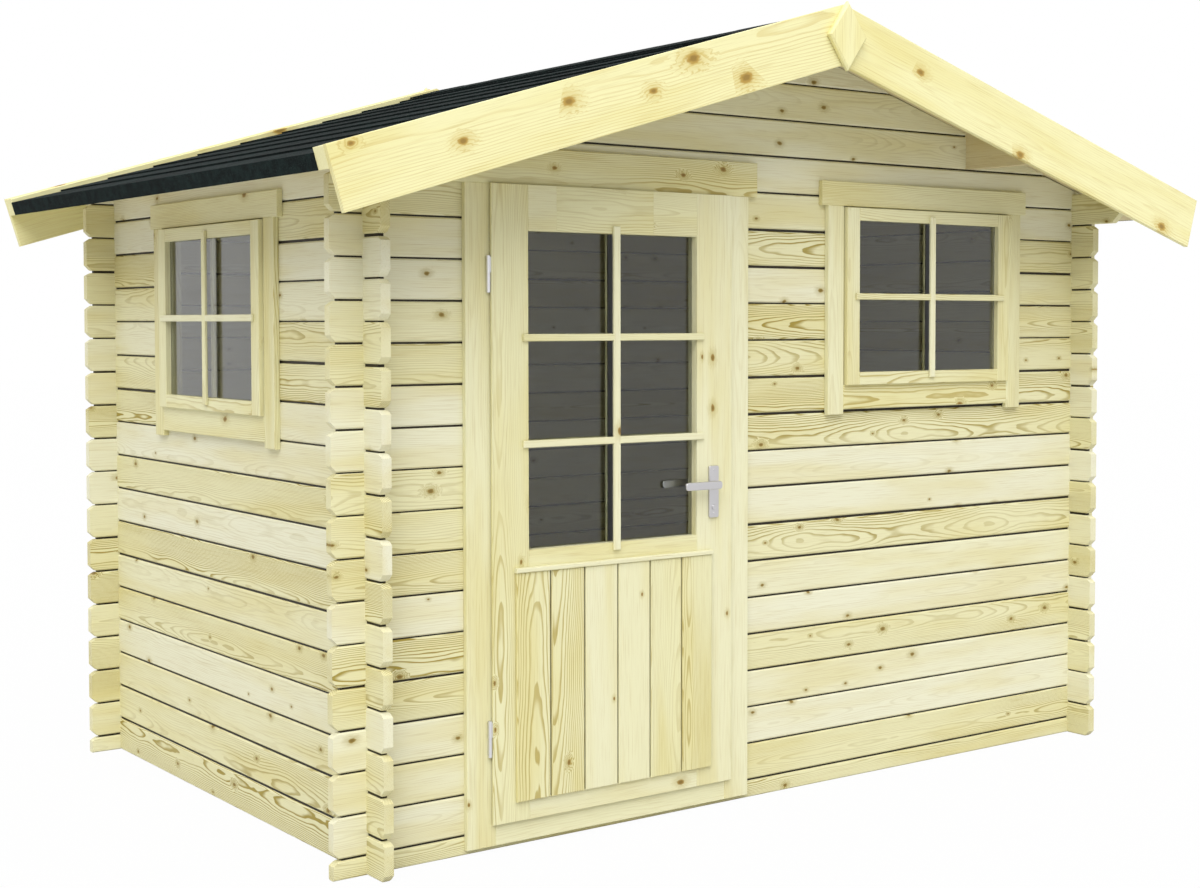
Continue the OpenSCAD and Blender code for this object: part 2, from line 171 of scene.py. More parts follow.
def mask(tree, value, low, high):
    """0 below low and 1 above high, with a smooth step between them."""
    made = new_node(tree, "MapRange", interpolation_type="SMOOTHSTEP", in_1=low, in_2=high)
    link(tree, value, made.inputs[0])
    return made.outputs[0]


def blend_colour(tree, share, a, b, way="MIX"):
    made = new_node(tree, "Mix", data_type="RGBA", blend_type=way)
    for socket, value in ((made.inputs[0], share), (made.inputs[6], a), (made.inputs[7], b)):
        if isinstance(value, (int, float, tuple)):
            socket.default_value = value
        else:
            link(tree, value, socket)
    return made.outputs[2]


def spruce_grain():
    """Sawn softwood: yearly rings round a pith that lies outside the board, fine fibres, and knots.
    Each board carries its own place in the tree in the attribute grain, and its own strength in tone. A tone
    below -0.5 paints a board nearly black, as painted shade for the pieces hidden in joints."""
    group = bpy.data.node_groups.new("spruce_grain", "ShaderNodeTree")
    face = group.interface
    for name, kind, value in (("Pale", "Color", (0.8, 0.7, 0.4, 1)), ("Ring", "Color", (0.5, 0.35, 0.1, 1)),
                              ("Knot", "Color", (0.3, 0.12, 0.03, 1)), ("Sap", "Color", (0.8, 0.8, 0.6, 1)),
                              ("Ring width", "Float", 0.006), ("Ring strength", "Float", 0.5),
                              ("Knots", "Float", 0.5), ("Knot size", "Float", 1.0)):
        face.new_socket(name, in_out="INPUT", socket_type="NodeSocket" + kind).default_value = value
    face.new_socket("Color", in_out="OUTPUT", socket_type="NodeSocketColor")
    face.new_socket("Height", in_out="OUTPUT", socket_type="NodeSocketFloat")
    given = group.nodes.new("NodeGroupInput").outputs
    place = new_node(group, "Attribute", attribute_name="grain").outputs["Vector"]
    tone = new_node(group, "Attribute", attribute_name="tone").outputs["Fac"]

    def scaled(x, y, z):
        made = new_node(group, "VectorMath", operation="MULTIPLY")
        link(group, place, made.inputs[0])
        made.inputs[1].default_value = (x, y, z)
        return made.outputs[0]

    def noise(vector, detail=2.0, roughness=0.5):
        made = new_node(group, "TexNoise")
        made.inputs["Scale"].default_value = 1
        made.inputs["Detail"].default_value = detail
        made.inputs["Roughness"].default_value = roughness
        link(group, vector, made.inputs["Vector"])
        return made.outputs["Fac"]

    axes = new_node(group, "SeparateXYZ")
    link(group, place, axes.inputs[0])
    along, across, depth = axes.outputs
    cells = new_node(group, "TexVoronoi", feature="F1", voronoi_dimensions="2D")
    cells.inputs["Scale"].default_value = 1
    link(group, scaled(6.5, 10.5, 0.6), cells.inputs["Vector"])
    chosen = new_node(group, "SeparateColor")
    link(group, cells.outputs["Color"], chosen.inputs[0])
    kept = sums(group, "LESS_THAN", chosen.outputs[0], given["Knots"])
    size = sums(group, "MULTIPLY_ADD", chosen.outputs[1], 0.05, 0.03)
    size = sums(group, "MULTIPLY", size, given["Knot size"])
    ragged = sums(group, "MULTIPLY_ADD", noise(scaled(60, 160, 160)), 0.9, 0.55)
    from_knot = sums(group, "DIVIDE", sums(group, "MULTIPLY", cells.outputs["Distance"], ragged), size)
    near_knot = sums(group, "MULTIPLY", mask(group, from_knot, 3.6, 0.6), kept)
    in_knot = sums(group, "MULTIPLY", mask(group, from_knot, 1.15, 0.7), kept)
    wander = sums(group, "SUBTRACT", noise(scaled(1.1, 2.2, 2.2)), 0.5)
    sway = sums(group, "SUBTRACT", noise(scaled(6, 22, 22)), 0.5)
    pith = sums(group, "SQRT", sums(group, "ADD", sums(group, "MULTIPLY", across, across),
                                    sums(group, "MULTIPLY", depth, depth)))
    pith = sums(group, "MULTIPLY_ADD", wander, 0.055, pith)
    pith = sums(group, "MULTIPLY_ADD", sway, 0.006, pith)
    pith = sums(group, "MULTIPLY_ADD", near_knot, 0.012, pith)
    year = sums(group, "FRACT", sums(group, "DIVIDE", pith, given["Ring width"]))
    late = sums(group, "MULTIPLY", mask(group, year, 0.55, 0.86), mask(group, year, 1.0, 0.95))
    patch = mask(group, noise(scaled(0.8, 5, 5)), 0.42, 0.6)
    strength = sums(group, "MULTIPLY", sums(group, "MULTIPLY_ADD", patch, 0.7, 0.3), given["Ring strength"])
    figured = sums(group, "MULTIPLY_ADD", mask(group, tone, 0.3, 0.75), 1.2, 0.22)
    strength = sums(group, "MULTIPLY", strength, figured)
    late = sums(group, "MULTIPLY", late, strength)
    late = sums(group, "MULTIPLY", late, sums(group, "MULTIPLY_ADD", near_knot, 0.6, 0.8))
    fibre = noise(scaled(7, 420, 420), 2.0, 0.6)
    broad = noise(scaled(1.3, 9, 9), 2.0, 0.6)
    ground = blend_colour(group, mask(group, tone, 0.15, 0.6), given["Sap"], given["Pale"])
    colour = blend_colour(group, late, ground, given["Ring"])
    warm = blend_colour(group, 1.0, colour, (0.94, 0.90, 0.74, 1), "MULTIPLY")
    colour = blend_colour(group, mask(group, broad, 0.42, 0.72), colour, warm)
    streak = blend_colour(group, 1.0, colour, (0.88, 0.84, 0.76, 1), "MULTIPLY")
    colour = blend_colour(group, mask(group, fibre, 0.5, 0.72), colour, streak)
    halo = blend_colour(group, sums(group, "MULTIPLY", near_knot, 0.45), colour, given["Ring"])
    colour = blend_colour(group, in_knot, halo, given["Knot"])
    heart = sums(group, "MULTIPLY", mask(group, from_knot, 0.75, 0.3), kept)
    colour = blend_colour(group, sums(group, "MULTIPLY", heart, 0.4), colour, (0.07, 0.035, 0.01, 1))
    # Painted shade: boards with a tone below -0.5 are painted nearly black, standing in for the shadow inside
    # the joints.
    colour = blend_colour(group, sums(group, "LESS_THAN", tone, -0.5), colour, (0.02, 0.015, 0.008, 1))
    height = sums(group, "SUBTRACT", sums(group, "MULTIPLY", fibre, 0.3), sums(group, "MULTIPLY", late, 0.7))
    out = group.nodes.new("NodeGroupOutput")
    link(group, colour, out.inputs["Color"])
    link(group, height, out.inputs["Height"])
    return group


grain_group = spruce_grain()


def wood(name, pale, ring, knot, strength, knots, ring_width=0.0042, roughness=0.6, sap=None, knot_size=1.0):
    paint = bpy.data.materials.new(name)
    paint.use_nodes = True
    tree = paint.node_tree
    skin = tree.nodes["Principled BSDF"]
    skin.inputs["Roughness"].default_value = roughness
    skin.inputs["Specular IOR Level"].default_value = 0.3
    grain = tree.nodes.new("ShaderNodeGroup")
    grain.node_tree = grain_group
    values = {"Pale": (*pale, 1), "Ring": (*ring, 1), "Knot": (*knot, 1), "Sap": (*(sap or pale), 1),
              "Ring width": ring_width, "Ring strength": strength, "Knots": knots, "Knot size": knot_size}
    for socket, value in values.items():
        grain.inputs[socket].default_value = value
    raised = new_node(tree, "Bump")
    raised.inputs["Strength"].default_value = 0.35
    raised.inputs["Distance"].default_value = 0.0006
    link(tree, grain.outputs["Color"], skin.inputs["Base Color"])
    link(tree, grain.outputs["Height"], raised.inputs["Height"])
    link(tree, raised.outputs["Normal"], skin.inputs["Normal"])
    return paint


log_wood = wood("log_wood", (0.75, 0.72, 0.45), (0.35, 0.27, 0.05), (0.30, 0.21, 0.05), 0.95, 0.26,
                ring_width=0.0032, sap=(0.78, 0.765, 0.58), knot_size=0.9)


def facing(origin, right, up):
    """A drawing plane: its origin, and the directions of its width and height.
    Its depth is their cross product, which points out of the house or up."""
    right, up = Vector(right), Vector(up)
    out = right.cross(up)
    return Matrix([[right[i], up[i], out[i], origin[i]] for i in range(3)] + [[0, 0, 0, 1]])


class Piece:
    """Boards that make one piece. Each board has its own place in the tree and its own strength of figure."""

    def __init__(self, name):
        self.name = name
        self.points = []
        self.faces = []
        self.grain = []
        self.tone = []

    def board(self, plane, outline, near, far, run=(1, 0), chamfer=0.0015, steps=1, tone=None, level=False):
        """An outline in the plane, from depth near to depth far, with its edges chamfered.
        With level, only the edges that run level are."""
        form = bmesh.new()
        low = [form.verts.new((x, y, near)) for x, y in outline]
        high = [form.verts.new((x, y, far)) for x, y in outline]
        count = len(outline)
        form.faces.new(low[::-1])
        form.faces.new(high)
        for i in range(count):
            form.faces.new((low[i], low[(i + 1) % count], high[(i + 1) % count], high[i]))
        bmesh.ops.recalc_face_normals(form, faces=form.faces[:])
        if chamfer:
            rims = [e for e in form.edges if abs(e.verts[0].co.z - e.verts[1].co.z) < 1e-6
                    and (not level or abs(e.verts[0].co.y - e.verts[1].co.y) < 1e-6)]
            bmesh.ops.bevel(form, geom=rims, offset=chamfer, segments=steps, affect="EDGES", profile=0.5,
                            clamp_overlap=True)
        self.take(form, plane, run, tone)

    def take(self, form, plane, run, tone):
        shift = Vector((chance.uniform(0, 60), chance.uniform(-0.07, 0.07), chance.uniform(0.012, 0.09)))
        middle = sum((v.co for v in form.verts), Vector()) / len(form.verts)
        tone = chance.random() if tone is None else tone
        first = len(self.points)
        form.verts.index_update()
        for v in form.verts:
            local = v.co - middle
            if run == "depth":
                own = Vector((local.z, local.x, local.y))
            else:
                cos, sin = run
                own = Vector((local.x * cos + local.y * sin, local.y * cos - local.x * sin, local.z))
            self.points.append(plane @ v.co)
            self.grain.append(own + shift)
            self.tone.append(tone)
        turn = -1 if plane.to_3x3().determinant() < 0 else 1
        self.faces += [[first + v.index for v in f.verts][::turn] for f in form.faces]
        form.free()

    def bar(self, plane, x0, x1, y0, y1, near, far, run=None, **more):
        run = run or ((1, 0) if x1 - x0 > y1 - y0 else (0, 1))
        self.board(plane, [(x0, y0), (x1, y0), (x1, y1), (x0, y1)], near, far, run, **more)

    def done(self, paint, body="house", replaced=(), smooth=False):
        mesh = bpy.data.meshes.new(self.name)
        mesh.from_pydata(self.points, [], self.faces)
        mesh.attributes.new("grain", "FLOAT_VECTOR", "POINT").data.foreach_set(
            "vector", [c for g in self.grain for c in g])
        mesh.attributes.new("tone", "FLOAT", "POINT").data.foreach_set("value", self.tone)
        mesh.materials.append(paint)
        if smooth:
            mesh.shade_smooth()
            mesh.set_sharp_from_angle(angle=math.radians(35))
        made = bpy.data.objects.new(self.name, mesh)
        scene.collection.objects.link(made)
        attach(made, body)
        if replaced:
            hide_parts(*replaced)
        return made


def log_outline(s0, s1, z0, z1, half, reach, foot_cut=True):
    """A log from s0 to s1. An end that reaches past the other wall has cut corners and a halved joint."""
    left, right = s0 < -reach + 0.001, s1 > reach - 0.001
    notch = log_h / 4
    low, high = [], []
    for side, whole in ((-1, left), (1, right)):
        end = side * reach if whole else (s0 if side < 0 else s1)
        inner, outer = side * (half - log_t), side * half
        down = [(inner, z0), (inner, z0 + notch), (outer, z0 + notch), (outer, z0), (end - side * end_cut, z0),
                (end, z0 + end_cut)] if whole and foot_cut else [(end, z0)]
        up = [(end, z1 - end_cut), (end - side * end_cut, z1), (outer, z1), (outer, z1 - notch),
              (inner, z1 - notch), (inner, z1)] if whole else [(end, z1)]
        low.append(down)
        high.append(up)
    return low[0][::-1] + low[1] + high[1] + high[0][::-1]


def below(outline, rise, peak):
    """The part of an outline that lies below the line y = peak + rise * x."""
    kept = []
    for i, (x, y) in enumerate(outline):
        px, py = outline[i - 1]
        here, before = y - peak - rise * x, py - peak - rise * px
        if (here > 0) != (before > 0):
            share = before / (before - here)
            kept.append((px + share * (x - px), py + share * (y - py)))
        if here <= 0:
            kept.append((x, y))
    return kept


def lay_log(piece, plane, outline, near, far, joint=True):
    """A log whose top is a little low, so that the joint over it shows, and the tongue in that joint, painted
    nearly black as painted shade.
    """
    gap = chance.choice(joint_gaps)
    top = max(y for x, y in outline)
    upper = [x for x, y in outline if y > top - 1e-6]
    x0, x1 = min(upper), max(upper)
    shaved = [(x, y - gap if y > top - 1e-6 else y) for x, y in outline]
    piece.board(plane, shaved, near, far, chamfer=log_chamfer, level=True)
    if joint:
        middle = (near + far) / 2
        # The tongue gets tone -1, which paints it nearly black: painted shade in the joint.
        piece.bar(plane, x0 + tongue_inset, x1 - tongue_inset, top - gap - 0.002, top + 0.003,
                  middle - tongue_t / 2, middle + tongue_t / 2, chamfer=0, tone=-1)


roof_pitch = math.radians(16.8)
slope = math.tan(roof_pitch)
face_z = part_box("shingles_right")[1].z
shingle_t, deck_t = 0.008, 0.018
under = shingle_t + deck_t
deck_under = face_z - under / math.cos(roof_pitch)


def under_roof(outline):
    return below(below(outline, -slope, deck_under), slope, deck_under)


def gable_wall(piece, plane, openings):
    """All the logs of a wall under a gable, from a half log on the ground to the ridge."""
    z0 = 0
    while z0 < deck_under - 0.01:
        z1 = half_log if z0 == 0 else z0 + log_h
        cuts = [(a, b) for a, b, foot, head in openings if foot < (z0 + z1) / 2 < head]
        starts = [-reach_x] + [b for a, b in cuts]
        ends = [a for a, b in cuts] + [reach_x]
        for s0, s1 in zip(starts, ends):
            outline = under_roof(log_outline(s0, s1, z0, z1, half_w, reach_x, foot_cut=z0 > 0))
            if len(outline) > 2:
                lay_log(piece, plane, outline, -log_t, 0, joint=z1 < deck_under - 0.05)
        z0 = z1


front_plane = facing((0, -half_d, 0), (1, 0, 0), (0, 0, 1))
openings = []
for node in ("door_frame", "front_window_frame"):
    low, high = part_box(node)
    openings.append((low.x, high.x, low.z, high.z))
front_logs = Piece("front_logs")
gable_wall(front_logs, front_plane, openings)
front_logs.done(log_wood, replaced=("front_sill_log", "front_wall_left", "front_wall_lower",
                                                "front_wall_pier", "front_wall_right", "front_gable"))

# ---- Back wall
# The same logs and the same gable as in front, with no opening.
back_plane = facing((0, half_d, 0), (-1, 0, 0), (0, 0, 1))
back_logs = Piece("back_logs")
gable_wall(back_logs, back_plane, [])
back_logs.done(log_wood, replaced=("back_wall",))

# ---- Side walls
# Full logs from the ground, half a log out of step with the front. The log under the roof boards
# runs out to the edge battens at both ends, and its ends are cut away below at 45 degrees.
courses = round(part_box("right_wall")[1].z / log_h)
deck_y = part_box("roof_deck_left")[1].y
eave_log_reach = 0.175
rake_foot = half_d + eave_log_reach


def side_wall(piece, plane, openings):
    for course in range(courses):
        z0, z1 = course * log_h, (course + 1) * log_h
        cuts = [(a, b) for a, b, foot, head in openings if foot < (z0 + z1) / 2 < head]
        starts = [-reach_y] + [b for a, b in cuts]
        ends = [a for a, b in cuts] + [reach_y]
        for s0, s1 in zip(starts, ends):
            outline = log_outline(s0, s1, z0, z1, half_d, reach_y)
            if course == courses - 1:
                inner, notch = half_d - log_t, log_h / 4
                half = [(inner, z0), (inner, z0 + notch), (half_d, z0 + notch), (half_d, z0), (rake_foot, z0),
                        (deck_y, z0 + deck_y - rake_foot), (deck_y, z1), (half_d, z1), (half_d, z1 - notch),
                        (inner, z1 - notch), (inner, z1)]
                outline = half + [(-x, y) for x, y in half[::-1]]
            lay_log(piece, plane, outline, -log_t, 0, joint=course < courses - 1)


left_plane = facing((-half_w, 0, 0), (0, -1, 0), (0, 0, 1))
low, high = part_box("left_window_frame")
left_logs = Piece("left_logs")
side_wall(left_logs, left_plane, [(-high.y, -low.y, low.z, high.z)])
left_logs.done(log_wood, replaced=("left_wall_lower", "left_wall_front", "left_wall_back",
                                               "left_wall_upper"))
right_plane = facing((half_w, 0, 0), (0, 1, 0), (0, 0, 1))
right_logs = Piece("right_logs")
side_wall(right_logs, right_plane, [])
right_logs.done(log_wood, replaced=("right_wall",))

# ---- Floor
# Tongued spruce boards laid front to back over four bearers.
board_wood = wood("board_wood", (0.72, 0.64, 0.40), (0.50, 0.36, 0.14), (0.36, 0.17, 0.05), 0.6, 0.2)
flat_plane = facing((0, 0, 0), (1, 0, 0), (0, 1, 0))
low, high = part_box("floor_boards")
floor_boards = Piece("floor_planks")
board_count, seam = 28, 0.0004
width = (high.x - low.x) / board_count
for i in range(board_count):
    x = low.x + i * width
    floor_boards.bar(flat_plane, x + seam, x + width - seam, low.y, high.y, low.z, high.z, chamfer=0.0012)
floor_boards.done(board_wood, replaced=("floor_boards",))
low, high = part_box("floor_bearers")
bearers = Piece("bearers")
bearer_w, bearer_count = 0.058, 4
for i in range(bearer_count):
    x = low.x + i * (high.x - low.x - bearer_w) / (bearer_count - 1)
    bearers.bar(flat_plane, x, x + bearer_w, low.y, high.y, low.z, high.z)
bearers.done(board_wood, replaced=("floor_bearers",))

# ---- Purlins and roof boards
# Three planed beams lie in the gables. Tongued boards run down each slope over them,
# with a small V along every joint underneath.
low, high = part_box("purlins")
gable_y = high.y
purlin_w, ridge_purlin_h = 0.044, 0.074
purlin_x = high.x - purlin_w
purlins = Piece("purlin_beams")
for x in (-purlin_x - purlin_w, purlin_x, -purlin_w / 2):
    foot = deck_under - ridge_purlin_h if x == -purlin_w / 2 else low.z
    outline = under_roof([(x, foot), (x + purlin_w, foot), (x + purlin_w, deck_under + 0.1),
                          (x, deck_under + 0.1)])
    purlins.board(front_plane, outline, -half_d - gable_y, gable_y - half_d, run="depth")
purlins.done(board_wood, replaced=("purlins",))

eave_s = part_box("shingles_right")[1].x / math.cos(roof_pitch)


def slope_plane(side):
    """A slope's own plane: width is counted down from the ridge, height along the house, depth upwards."""
    down = Vector((side * math.cos(roof_pitch), 0, -math.sin(roof_pitch)))
    out = Vector((side * math.sin(roof_pitch), 0, math.cos(roof_pitch)))
    along = Vector((0, 1, 0))
    return Matrix([[down[i], along[i], out[i], (0, 0, face_z)[i]] for i in range(3)] + [[0, 0, 0, 1]])


slopes = {"left": slope_plane(-1), "right": slope_plane(1)}
deck_count, deck_seam = 24, 0.0005
deck_w = 2 * deck_y / deck_count
for side, plane in slopes.items():
    deck = Piece("roof_boards_" + side)
    for i in range(deck_count):
        y = -deck_y + i * deck_w
        deck.bar(plane, under * slope, eave_s, y + deck_seam, y + deck_w - deck_seam, -under, -shingle_t,
                 chamfer=0.003)
    deck.done(board_wood, replaced=("roof_deck_" + side,))

# ---- Shingles
# Mineral-faced bitumen strips cut into tabs, nailed in ten overlapping courses from the eaves up,
# with single tabs bent over the ridge. A strip of the same felt wraps the lower edge of the boards.
shingle_felt = bpy.data.materials.new("shingle_felt")
shingle_felt.use_nodes = True
tree = shingle_felt.node_tree
skin = tree.nodes["Principled BSDF"]
skin.inputs["Roughness"].default_value = 0.93
skin.inputs["Specular IOR Level"].default_value = 0.12
spot = new_node(tree, "Attribute", attribute_name="grain").outputs["Vector"]
shade = new_node(tree, "Attribute", attribute_name="tone").outputs["Fac"]


def speckle(size, detail):
    made = new_node(tree, "TexNoise")
    made.inputs["Scale"].default_value = size
    made.inputs["Detail"].default_value = detail
    link(tree, spot, made.inputs["Vector"])
    return made.outputs["Fac"]


grit, blotch = speckle(420, 2), speckle(34, 3)
felt = blend_colour(tree, mask(tree, blotch, 0.38, 0.66), (0.003, 0.006, 0.006, 1), (0.007, 0.015, 0.014, 1))
felt = blend_colour(tree, mask(tree, grit, 0.55, 0.72), felt, (0.018, 0.032, 0.030, 1))
tint = blend_colour(tree, shade, (0.75, 0.75, 0.75, 1), (1.15, 1.15, 1.15, 1))
link(tree, blend_colour(tree, 1.0, felt, tint, "MULTIPLY"), skin.inputs["Base Color"])
rough = new_node(tree, "Bump")
rough.inputs["Strength"].default_value = 0.7
rough.inputs["Distance"].default_value = 0.0015
link(tree, sums(tree, "ADD", grit, blotch), rough.inputs["Height"])
link(tree, rough.outputs["Normal"], skin.inputs["Normal"])

shingle_rows = 10
tab_w, slit = 0.333, 0.006
row_lap = 0.03
felt_t = 0.0022
row_s = eave_s / shingle_rows
for side, plane in slopes.items():
    cover = Piece("shingle_tabs_" + side)
    section = plane @ Matrix.Rotation(math.radians(90), 4, "X")
    for row in range(shingle_rows):
        low_s = eave_s - row * row_s
        high_s = max(low_s - row_s - row_lap, 0)
        y = -deck_y - (0.5 * tab_w if row % 2 else 0) - chance.uniform(0, 0.02)
        while y < deck_y:
            y0, y1 = max(y, -deck_y), min(y + tab_w - slit, deck_y)
            if y1 - y0 > 0.01:
                dip = chance.uniform(0, 0.0008)
                outline = [(high_s, -shingle_t), (low_s, -shingle_t + 0.0005), (low_s, -dip),
                           (high_s, -shingle_t + 0.0015)]
                cover.board(section, outline, -y1, -y0, chamfer=0.0008)
            y += tab_w
    cover.bar(plane, 0.001, eave_s - 0.002, -deck_y, deck_y, -shingle_t, felt_t - shingle_t, chamfer=0, tone=0)
    cover.done(shingle_felt, replaced=("shingles_" + side,))

cap = Piece("ridge_tabs")
cap_w, cap_t, cap_seam = 0.12, 0.004, 0.002
cap_count = int(2 * deck_y / 0.19)
cap_l = 2 * deck_y / cap_count
for i in range(cap_count):
    y0 = -deck_y + i * cap_l
    top = cap_t - chance.uniform(0, 0.0008)
    rise = top / math.cos(roof_pitch)
    for side in (-1, 1):
        outline = [(0, face_z - 0.001), (side * cap_w, face_z - 0.001 - cap_w * slope),
                   (side * cap_w, face_z + rise - cap_w * slope), (0, face_z + rise)]
        cap.board(front_plane, outline[::side], -half_d - y0 - cap_l + cap_seam, -half_d - y0, chamfer=0.0006)
cap.done(shingle_felt, replaced=("ridge_cap",))

batten_t, batten_w = 0.018, 0.055
edge_t = under + batten_t
strip_t, strip_l = 0.003, 0.95
wrap = Piece("eave_felt")
eave_battens = Piece("eave_battens")
for side, plane in slopes.items():
    y = -deck_y
    while y < deck_y - 0.01:
        length = min(strip_l, deck_y - y)
        wrap.bar(plane, eave_s, eave_s + strip_t, y, y + length - 0.001, -edge_t, -0.0005, chamfer=0.0005)
        y += length
    eave_battens.bar(plane, eave_s - batten_w, eave_s, -deck_y, deck_y, -edge_t, -under)
wrap.done(shingle_felt, replaced=("eave_strips",))
eave_battens.done(board_wood)

# ---- Edge battens and bargeboards
# Battens along the gable edges stand a little above the shingles. Wide yellow pine boards are nailed over
# them, cut square to the slope at the eaves, and a diamond covers the joint at the ridge.
barge_wood = wood("barge_wood", (0.86, 0.82, 0.46), (0.60, 0.44, 0.10), (0.48, 0.31, 0.07), 0.62, 0.26,
                  ring_width=0.007, roughness=0.5, knot_size=2.4)
edge_proud = 0.012
barge_proud, barge_w, barge_t = 0.015, 0.168, 0.018


def sloping(side, depth, thick):
    """The outline, seen from the front, of a board down one slope, at a depth below the shingles' face."""
    fall = Vector((side * math.sin(roof_pitch), math.cos(roof_pitch)))
    end = Vector((side * eave_s * math.cos(roof_pitch), face_z - eave_s * math.sin(roof_pitch)))
    crown = face_z - depth / math.cos(roof_pitch)
    foot = crown - thick / math.cos(roof_pitch)
    outline = [(0, foot), tuple(end - (depth + thick) * fall), tuple(end - depth * fall), (0, crown)]
    return outline[::side]


for name, side in (("left", -1), ("right", 1)):
    run = (math.cos(roof_pitch), -side * math.sin(roof_pitch))
    battens = Piece("gable_battens_" + name)
    for y in (-gable_y, deck_y):
        battens.board(front_plane, sloping(side, -edge_proud, edge_proud + edge_t), -half_d - y - batten_w,
                      -half_d - y, run)
    battens.done(barge_wood, replaced=("edge_battens_" + name,))
    for place, y in (("front", -gable_y - barge_t), ("back", gable_y)):
        barge = Piece("barge_" + place + "_" + name)
        barge.board(front_plane, sloping(side, -barge_proud, barge_w), -half_d - y - barge_t, -half_d - y, run,
                    chamfer=0.0022, steps=2, tone=0.5)
        barge.done(barge_wood, replaced=("bargeboard_" + place + "_" + name,))

low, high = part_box("finials")
middle = (low.z + high.z) / 2
finial_t = 0.02
diamonds = Piece("ridge_diamonds")
for y in (low.y, high.y - finial_t):
    diamonds.board(front_plane, [(0, low.z), (high.x, middle), (0, high.z), (low.x, middle)],
                   -half_d - y - finial_t, -half_d - y, (0, 1), chamfer=0.005, tone=0.3)
diamonds.done(barge_wood, replaced=("finials",))

# ---- Door frame and trim
# A lining of planed spruce in the opening, and flat boards nailed over its edge on the outside.
# The board over the door runs past the uprights on both sides.
joinery = wood("joinery", (0.765, 0.74, 0.46), (0.46, 0.37, 0.11), (0.34, 0.22, 0.05), 0.75, 0.22,
               roughness=0.5, knot_size=1.15, sap=(0.78, 0.76, 0.52))
leaf_low, leaf_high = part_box("door_leaf")
lap, door_gap = 0.02, 0.005
hole = (leaf_low.x + lap - door_gap, leaf_high.x - lap + door_gap, leaf_low.z + lap - door_gap,
        leaf_high.z - lap + door_gap)


def ring(piece, plane, outside, inside, near, far, **more):
    """Two uprights with a head and a foot between them."""
    x0, x1, z0, z1 = outside
    a, b, c, d = inside
    piece.bar(plane, x0, a, z0, z1, near, far, **more)
    piece.bar(plane, b, x1, z0, z1, near, far, **more)
    piece.bar(plane, a, b, d, z1, near, far, **more)
    piece.bar(plane, a, b, z0, c, near, far, **more)


low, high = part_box("door_frame")
lining = Piece("door_lining")
ring(lining, front_plane, (low.x, high.x, low.z, high.z), hole, -half_d - high.y, 0)
lining.done(joinery, replaced=("door_frame",))
low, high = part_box("door_casing")
trim_t, head_lug = high.y - low.y, 0.035
trim = Piece("door_trim")
ring(trim, front_plane, (low.x + head_lug, high.x - head_lug, low.z, leaf_high.z), hole, 0, trim_t)
trim.bar(front_plane, low.x, high.x, leaf_high.z, high.z, 0, trim_t)
trim.done(joinery, replaced=("door_casing",))

# ---- Door leaf
# Stiles and rails glued at butt joints, with a lip that laps over the frame. Six tongued boards under a
# ledge are planted on the lower half, and glazing bars on both sides of the one pane divide it into six.
pane_low, pane_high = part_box("door_glass")
face_n = -half_d - leaf_low.y
back_n = -half_d - leaf_high.y
lip_t = 0.008
top_rail_joints = (0, 0.16, 0.73, 1)
leaf = Piece("leaf_frame")
for inset, near, far in ((0, face_n - lip_t, face_n), (lap, back_n, face_n - lip_t)):
    x0, x1 = leaf_low.x + inset, leaf_high.x - inset
    z0, z1 = leaf_low.z + inset, leaf_high.z - inset
    leaf.bar(front_plane, x0, pane_low.x, z0, z1, near, far, chamfer=0.001)
    leaf.bar(front_plane, pane_high.x, x1, z0, z1, near, far, chamfer=0.001)
    joints = [pane_low.x + share * (pane_high.x - pane_low.x) for share in top_rail_joints]
    for a, b in zip(joints, joints[1:]):
        leaf.bar(front_plane, a, b, pane_high.z, z1, near, far, run=(1, 0), chamfer=0.0006)
    rails = (z0, 0.2, 0.69, pane_low.z)
    for foot, top in zip(rails, rails[1:]):
        leaf.bar(front_plane, pane_low.x, pane_high.x, foot, top, near, far, run=(1, 0), chamfer=0.0005)
leaf.done(joinery, "door", replaced=("door_leaf",))

low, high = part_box("door_panel")
ledge_h, panel_t, groove = 0.013, 0.012, 0.0026
figures = (0.95, 0.75, 0.2, 0.35, 0.95, 0.6)
width = (high.x - low.x) / len(figures)
panel = Piece("panel_boards")
for i, figure in enumerate(figures):
    x = low.x + i * width
    panel.bar(front_plane, x + groove, x + width - groove, low.z, high.z - ledge_h, face_n, face_n + panel_t,
              run=(0, 1), chamfer=0.0025, tone=figure)
    # A thin strip behind each joint between the boards, with tone -1, painted nearly black as painted shade in
    # the groove.
    panel.bar(front_plane, x + width - 0.003, min(x + width + 0.003, high.x), low.z + 0.002, high.z - ledge_h,
              face_n, face_n + 0.004, chamfer=0, tone=-1)
panel.bar(front_plane, low.x, high.x, high.z - ledge_h, high.z, face_n, -half_d - low.y, chamfer=0.002)
panel.done(joinery, "door", replaced=("door_panel",))

bar_w, cross_w, bar_t, bar_over = 0.023, 0.02, 0.01, 0.021


def glazing_bars(name, plane, pane, rows, outer_n, inner_n, body):
    """Flat bars over both faces of a pane, an upright in the middle and one or two across."""
    x0, x1, z0, z1 = pane
    bars = Piece(name)
    centre = (x0 + x1) / 2
    for near, over in ((outer_n, bar_over), (inner_n - bar_t, 0)):
        bars.bar(plane, centre - bar_w / 2, centre + bar_w / 2, z0 - over, z1 + over, near, near + bar_t,
                 chamfer=0.002)
        for i in range(1, rows):
            z = z0 + i * (z1 - z0) / rows
            bars.bar(plane, x0 - over, x1 + over, z - cross_w / 2, z + cross_w / 2, near, near + bar_t - 0.0005,
                     chamfer=0.002)
    bars.done(joinery, body)


pane = (pane_low.x, pane_high.x, pane_low.z, pane_high.z)
glazing_bars("door_bars", front_plane, pane, 3, face_n, -half_d - pane_high.y, "door")

